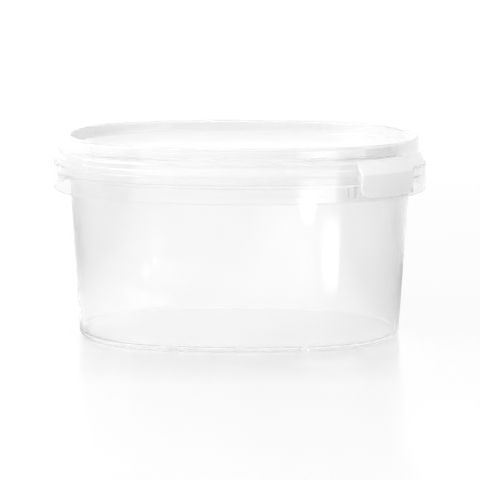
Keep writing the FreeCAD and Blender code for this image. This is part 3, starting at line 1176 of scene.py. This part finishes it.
@dataclass
class Studio:
    """Pale floor, white surround, soft lamps, a glowing grey card that paints a reflection, and the
    camera.

    A pair of distances says where a change starts and where it ends, in metres from the middle.
    """

    floor_reach: float = 4.0
    floor_colour: tuple[float, float, float] = (0.83, 0.83, 0.83)
    floor_roughness: float = 0.16
    floor_lift: float = 0.01
    sweep: float = 0.08
    sweep_range: tuple[float, float] = (0.1, 0.7)
    ambient: float = 0.92
    focal: float = 171.4
    camera_place: tuple[float, float, float] = (0.0, -0.90177, 0.19139)
    pitch: float = 9.704
    yaw: float = -0.011
    roll: float = 0.195
    lamps: list[Softbox] = field(default_factory=list)
    cards: list[Card] = field(default_factory=list)
    pools: list[Pool] = field(default_factory=list)
    # painted shade in reflections and through the plastic: where and how far the floor's glowing
    # level falls off towards the sides
    dark_left: tuple[float, float] = (0.065, 0.19)
    dark_right: tuple[float, float] = (0.04, 0.11)
    dark_far: tuple[float, float] = (0.14, 0.26)
    depth_left: float = 0.9
    depth_right: float = 0.72
    depth_far: float = 0.4
    end_left: tuple[float, float] = (0.08, 0.45)
    end_right: tuple[float, float] = (0.08, 0.22)
    end_far: tuple[float, float] = (0.2, 0.4)
    dark_lean: float = 0.5
    # glowing level of the floor in reflections and through the plastic, a painted reflection
    mirrored_level: float = 1.07
    through_level: float = 0.79
    polish: float = 0.57
    polish_roughness: float = 0.09
    polish_front: tuple[float, float] = (-0.1, -0.045)
    polish_back: tuple[float, float] = (-0.02, 0.03)
    polish_sides: tuple[float, float] = (0.068, 0.08)

    def mirrored(self, graph: Graph) -> Value:
        """Painted level that the floor glows at in reflections and through the plastic.

        It is full in the middle and falls off towards both sides of the studio, as painted shade.
        The fall starts farther out in front, by dark_lean for each metre, and ends towards the
        back. Farther out on the right there is a second fall. The pools, painted light and shade,
        are added to it.

        Args:
            graph: the floor's graph.

        Returns:
            The level.
        """
        x, y = graph.axis("X"), graph.axis("Y")
        lean = (y * -1).most(0.0) * self.dark_lean
        left = (x * -1 - lean).step(*self.dark_left) * self.depth_left
        right = (x - lean).step(*self.dark_right) * self.depth_right
        far = (x - lean).step(*self.dark_far) * self.depth_far
        left = left * (1 - y.step(*self.end_left))
        right = right * (1 - y.step(*self.end_right))
        far = far * (1 - y.step(*self.end_far))
        level = self.mirrored_level - left.most(right + far)
        for pool in self.pools:
            level = level + pool.glow(graph)
        return level

    def floor(self) -> None:
        """Adds the floor, which shows white to the camera and keeps the container's shadow.

        It is polished under the container and just in front of it, turns matt farther out, and
        rises to white towards the back as a sweep does. In place of its lit face, reflections and
        clear
        plastic see a level that it glows at: a painted reflection, with painted shade towards the
        sides and painted pools of light and shade.
        """
        reach = self.floor_reach
        mesh = bpy.data.meshes.new("floor")
        square = [(-reach, -reach, 0), (reach, -reach, 0), (reach, reach, 0), (-reach, reach, 0)]
        mesh.from_pydata(square, [], [(0, 1, 2, 3)])
        material = bpy.data.materials.new("floor_sheet")
        material.use_nodes = True
        graph = Graph(material.node_tree)
        kind = graph.rays()
        y = graph.axis("Y")
        lift = y.step(*self.sweep_range) * self.sweep + self.floor_lift
        sheet = graph.node(
            "ShaderNodeBsdfPrincipled",
            {},
            {
                "Base Color": (*self.floor_colour, 1.0),
                "Roughness": self.floor_roughness,
                "Emission Color": lift * kind("Is Camera Ray"),
                "Emission Strength": 1.0,
            },
        )
        mirror = graph.node(
            "ShaderNodeBsdfGlossy",
            {},
            {"Color": (1.0, 1.0, 1.0, 1.0), "Roughness": self.polish_roughness},
        )
        near = y.step(*self.polish_front) * (1 - y.step(*self.polish_back)) * self.polish
        near = near * (1 - abs(graph.axis("X")).step(*self.polish_sides))
        polished = graph.node(
            "ShaderNodeMixShader", {}, {0: near, 1: sheet.outputs[0], 2: mirror.outputs[0]}
        )
        # painted reflection: for reflections and clear plastic the floor glows at a set level, with
        # painted shade at the sides and painted pools
        level = self.mirrored(graph)
        shown = graph.node("ShaderNodeEmission", {}, {"Color": level, "Strength": 1.0})
        mix = graph.node(
            "ShaderNodeMixShader",
            {},
            {0: kind("Is Glossy Ray"), 1: polished.outputs[0], 2: shown.outputs[0]},
        )
        graph.finish(mix.outputs[0])
        mesh.materials.append(material)
        floor = bpy.data.objects.new("floor", mesh)
        bpy.context.scene.collection.objects.link(floor)

    def surround(self) -> None:
        """Sets the world.

        It is full white where it is seen or mirrored, through_level where clear plastic shows it,
        and ambient where it only lights.
        """
        world = bpy.data.worlds.new("surround")
        bpy.context.scene.world = world
        world.use_nodes = True
        graph = Graph(world.node_tree)
        kind = graph.rays()
        shown = kind("Is Camera Ray").most(kind("Is Transmission Ray")).most(kind("Is Glossy Ray"))
        strength = shown * (1.0 - self.ambient) + self.ambient
        strength = strength + kind("Is Transmission Ray") * (self.through_level - 1.0)
        inputs = {"Color": (1.0, 1.0, 1.0, 1.0), "Strength": strength}
        white = graph.node("ShaderNodeBackground", {}, inputs)
        graph.finish(white.outputs[0], "ShaderNodeOutputWorld")

    def camera(self) -> None:
        """Adds the camera, well back and a little above, looking down on the container."""
        lens = bpy.data.cameras.new("camera")
        lens.lens = self.focal
        lens.sensor_width = 36.0
        lens.clip_start = 0.01
        shown = bpy.data.objects.new("camera", lens)
        bpy.context.scene.collection.objects.link(shown)
        turn = Euler((math.radians(90 - self.pitch), 0, math.radians(self.yaw)))
        roll = Euler((0, 0, math.radians(self.roll)))
        shown.matrix_world = turn.to_matrix().to_4x4() @ roll.to_matrix().to_4x4()
        shown.location = self.camera_place
        bpy.context.scene.camera = shown

    def build(self) -> None:
        """Sets up the whole studio, with enough bounces for many clear layers."""
        scene = bpy.context.scene
        scene.view_settings.view_transform = "Standard"
        scene.cycles.max_bounces = 40
        scene.cycles.transmission_bounces = 36
        scene.cycles.glossy_bounces = 12
        scene.cycles.transparent_max_bounces = 64
        self.floor()
        self.surround()
        self.camera()
        for prop in (*self.lamps, *self.cards):
            prop.build()


def studio() -> Studio:
    """Studio with its props placed.

    Returns:
        The studio, with a key lamp, two low windows, the pools of painted light and shade, and the
        glowing card at the front that paints a grey reflection.
    """
    lit = (Ray.DIFFUSE, Ray.GLOSSY, Ray.SHADOW)
    lamps = [
        Softbox("key", (-0.75, -0.45, 0.85), (0.7, 0.7), 6.4, lit),
        Softbox("window_right", (0.51, -0.61, 0.067), (0.66, 0.055), 0.6, (Ray.TRANSMISSION,)),
        Softbox("window_left", (-0.7, -0.12, 0.053), (0.8, 0.05), 0.15, (Ray.TRANSMISSION,)),
    ]
    # painted light on the floor: the first four pools are painted highlights that the front wall
    # and collar reflect and the plastic shows; the last is a painted shade under the tub's left end
    pools = [
        Pool((0.088, -0.206), (0.109, -0.276), 0.003, 0.022, 5.0),
        Pool((0.068, -0.09), (0.152, -0.228), 0.01, 0.035, 3.0, 0.3),
        Pool((0.15, -0.33), (0.24, -0.54), 0.045, 0.07, 1.7, 0.25),
        Pool((0.01, -0.04), (0.12, -0.4), 0.035, 0.07, 1.0, 0.4),
        Pool((-0.085, -0.006), (0.0, -0.01), 0.03, 0.022, -1.0, 0.5),
    ]
    cards = [Card("reflected_grey_card", (0.0, -0.75, 0.24), (0.9, 0.185), 0.3)]
    return Studio(lamps=lamps, cards=cards, pools=pools)


def main() -> None:
    """Builds the container and the studio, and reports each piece."""
    logging.basicConfig(level=logging.INFO, format="%(name)s: %(message)s")
    _, tub_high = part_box("tub")
    _, lid_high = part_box("lid")
    oval = Oval(tub_high[0] / MM, tub_high[1] / MM, SIDE_RADIUS)
    shared = Moulding(oval, tub_high[2] / MM)
    lid = Lid(shared, lid_high[2] / MM)
    tab = PullTab(shared, lid)
    for made in (Tub(shared).build(), lid.build(), tab.build(), tab.build_bridges()):
        shape = made.data
        LOG.info("%s: %d points, %d faces", made.name, len(shape.vertices), len(shape.polygons))
    studio().build()


if __name__ == "__main__":
    main()
